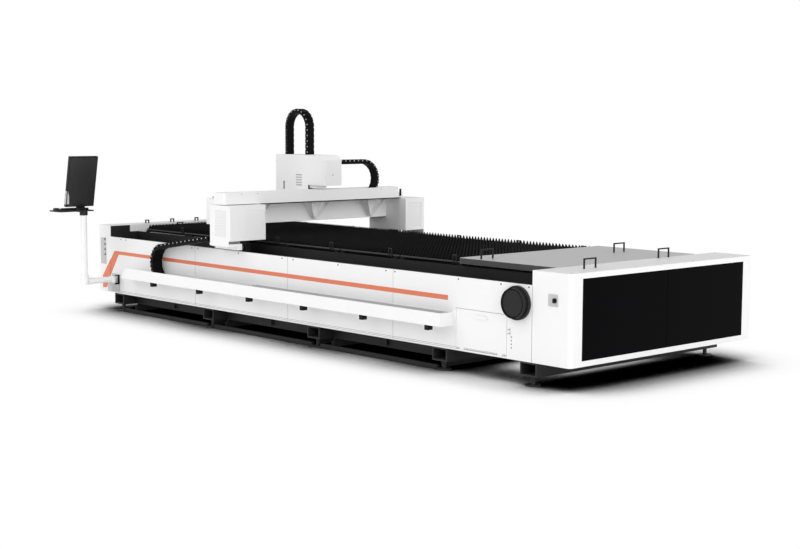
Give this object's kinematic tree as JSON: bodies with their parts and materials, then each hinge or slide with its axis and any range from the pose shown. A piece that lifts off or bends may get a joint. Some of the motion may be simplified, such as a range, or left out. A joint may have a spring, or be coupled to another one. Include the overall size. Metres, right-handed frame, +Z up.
{
  "type": "fiber laser cutting machine",
  "caption": "Long open-bed sheet-metal laser cutter with slat table, louvred gantry, carriage with cutting head, drag chains, slag trays and a console on a swing arm.",
  "frame": {"origin": "on the floor at the middle of the whole machine's outline, seen from above", "axes": "+X along the bed towards the cabinet with the dark glass end, -Y towards the front with the cable tray, +Z up"},
  "size_m": [8.536, 3.785, 2.7479],
  "materials": {
    "white_paint": "satin powder coat",
    "grey_paint": "satin powder coat",
    "black_paint": "matt paint",
    "dark_steel": "dark, mill finish",
    "bright_steel": "ground",
    "dark_glass": "high gloss, near black",
    "chain_plastic": "matt moulded",
    "black_plastic": "fine grain",
    "screen_glass": "gloss",
    "aluminium": "anodised",
    "copper_alloy": "turned",
    "red_plastic": "gloss"
  },
  "bodies": {
    "base": {"side_panel_front": "white_paint", "side_panel_back": "white_paint", "near_cabinet": "white_paint", "near_cabinet_lid": "white_paint", "glass_panels": "dark_glass", "far_cabinet": "white_paint", "far_cabinet_lid": "white_paint", "end_cover_plate": "grey_paint", "bar_handles": "black_paint", "side_beam_front": "black_paint", "side_beam_back": "black_paint", "cross_beams": "black_paint", "levelling_feet": "black_paint", "bed_rails": "bright_steel", "floor_rails": "black_paint", "hopper_plates": "dark_steel", "cable_tray": "white_paint", "x_drag_chain": "chain_plastic", "dust_duct": "black_paint", "panel_fittings": "grey_paint", "console_bracket": "grey_paint", "lifting_hooks": "black_paint", "slat_module_1": "dark_steel", "slat_module_2": "dark_steel", "slat_module_3": "dark_steel", "slat_module_4": "dark_steel", "slat_module_5": "dark_steel", "slat_module_6": "dark_steel"},
    "isolator_knob": {"main_switch_knob": "black_plastic"},
    "door": {"access_door": "white_paint"},
    "latch": {"door_latch": "white_paint"},
    "tray_1": {"slag_tray_1": "grey_paint"},
    "tray_2": {"slag_tray_2": "grey_paint"},
    "tray_3": {"slag_tray_3": "grey_paint"},
    "gantry": {"gantry_beam": "white_paint", "front_foot_cover": "white_paint", "back_foot_cover": "white_paint", "gantry_legs": "white_paint", "beam_cable_tray": "white_paint", "bearing_blocks": "bright_steel", "beam_rails": "bright_steel", "y_drag_chain": "chain_plastic", "x_drive_motors": "black_paint"},
    "x_pinions": {"drive_pinions": "bright_steel"},
    "carriage": {"carriage_plate": "aluminium", "carriage_cover": "white_paint", "z_drag_chain": "chain_plastic", "y_drive_motor": "black_paint"},
    "y_pinion": {"y_drive_pinion": "bright_steel"},
    "head": {"head_slide": "aluminium", "cutting_head": "aluminium", "cutting_nozzle": "copper_alloy"},
    "arm": {"console_arm": "white_paint"},
    "pole": {"console_pole": "white_paint", "keyboard_shelf": "black_paint", "keyboard": "black_plastic", "mouse": "black_plastic"},
    "monitor": {"monitor_housing": "black_plastic", "screen": "screen_glass"},
    "stop_button": {"emergency_stop": "red_plastic"}
  },
  "joints": [
    {"name": "gantry_slide", "type": "slide", "parent": "base", "child": "gantry", "axis": [1, 0, 0], "range_m": [-1.8, 4.1], "deforming": ["x_drag_chain"]},
    {"name": "x_pinion_turn", "type": "hinge", "parent": "gantry", "child": "x_pinions", "pos_m": [-1.267, 0.3875, 1.0176], "axis": [0, 1, 0], "continuous": true},
    {"name": "carriage_slide", "type": "slide", "parent": "gantry", "child": "carriage", "axis": [0, 1, 0], "range_m": [-1.05, 1], "deforming": ["y_drag_chain"]},
    {"name": "y_pinion_turn", "type": "hinge", "parent": "carriage", "child": "y_pinion", "pos_m": [-1.477, 0.4255, 1.6926], "axis": [1, 0, 0], "continuous": true},
    {"name": "head_lift", "type": "slide", "parent": "carriage", "child": "head", "axis": [0, 0, 1], "range_m": [-0.13, 0], "deforming": ["z_drag_chain"]},
    {"name": "isolator_turn", "type": "hinge", "parent": "base", "child": "isolator_knob", "pos_m": [4.074, -1.1325, 0.884], "axis": [0, 1, 0], "range_deg": [0, 90]},
    {"name": "door_swing", "type": "hinge", "parent": "base", "child": "door", "pos_m": [3.078, -1.1174, 0.262], "axis": [1, 0, 0], "range_deg": [0, 90]},
    {"name": "latch_turn", "type": "hinge", "parent": "door", "child": "latch", "pos_m": [3.085, -1.1175, 0.617], "axis": [0, 1, 0], "range_deg": [0, 90]},
    {"name": "slag_tray_1_slide", "type": "slide", "parent": "base", "child": "tray_1", "axis": [0, -1, 0], "range_m": [0, 1.4]},
    {"name": "slag_tray_2_slide", "type": "slide", "parent": "base", "child": "tray_2", "axis": [0, -1, 0], "range_m": [0, 1.4]},
    {"name": "slag_tray_3_slide", "type": "slide", "parent": "base", "child": "tray_3", "axis": [0, -1, 0], "range_m": [0, 1.4]},
    {"name": "arm_swing", "type": "hinge", "parent": "base", "child": "arm", "pos_m": [-3.817, -1.1905, 0.44], "axis": [0, 0, 1], "range_deg": [-60, 45]},
    {"name": "pole_turn", "type": "hinge", "parent": "arm", "child": "pole", "pos_m": [-3.817, -1.6175, 0.44], "axis": [0, 0, 1], "range_deg": [-90, 90]},
    {"name": "monitor_tilt", "type": "hinge", "parent": "pole", "child": "monitor", "pos_m": [-3.847, -1.6175, 1.411], "axis": [0, 1, 0], "range_deg": [-14, 8]},
    {"name": "stop_press", "type": "slide", "parent": "monitor", "child": "stop_button", "axis": [0.9781, 0, -0.2079], "range_m": [0, 0.008]}
  ],
  "couplings": [
    {"joint": "x_pinion_turn", "follows": "gantry_slide", "rad_per_m": 26.667},
    {"joint": "y_pinion_turn", "follows": "carriage_slide", "rad_per_m": -26.667}
  ]
}
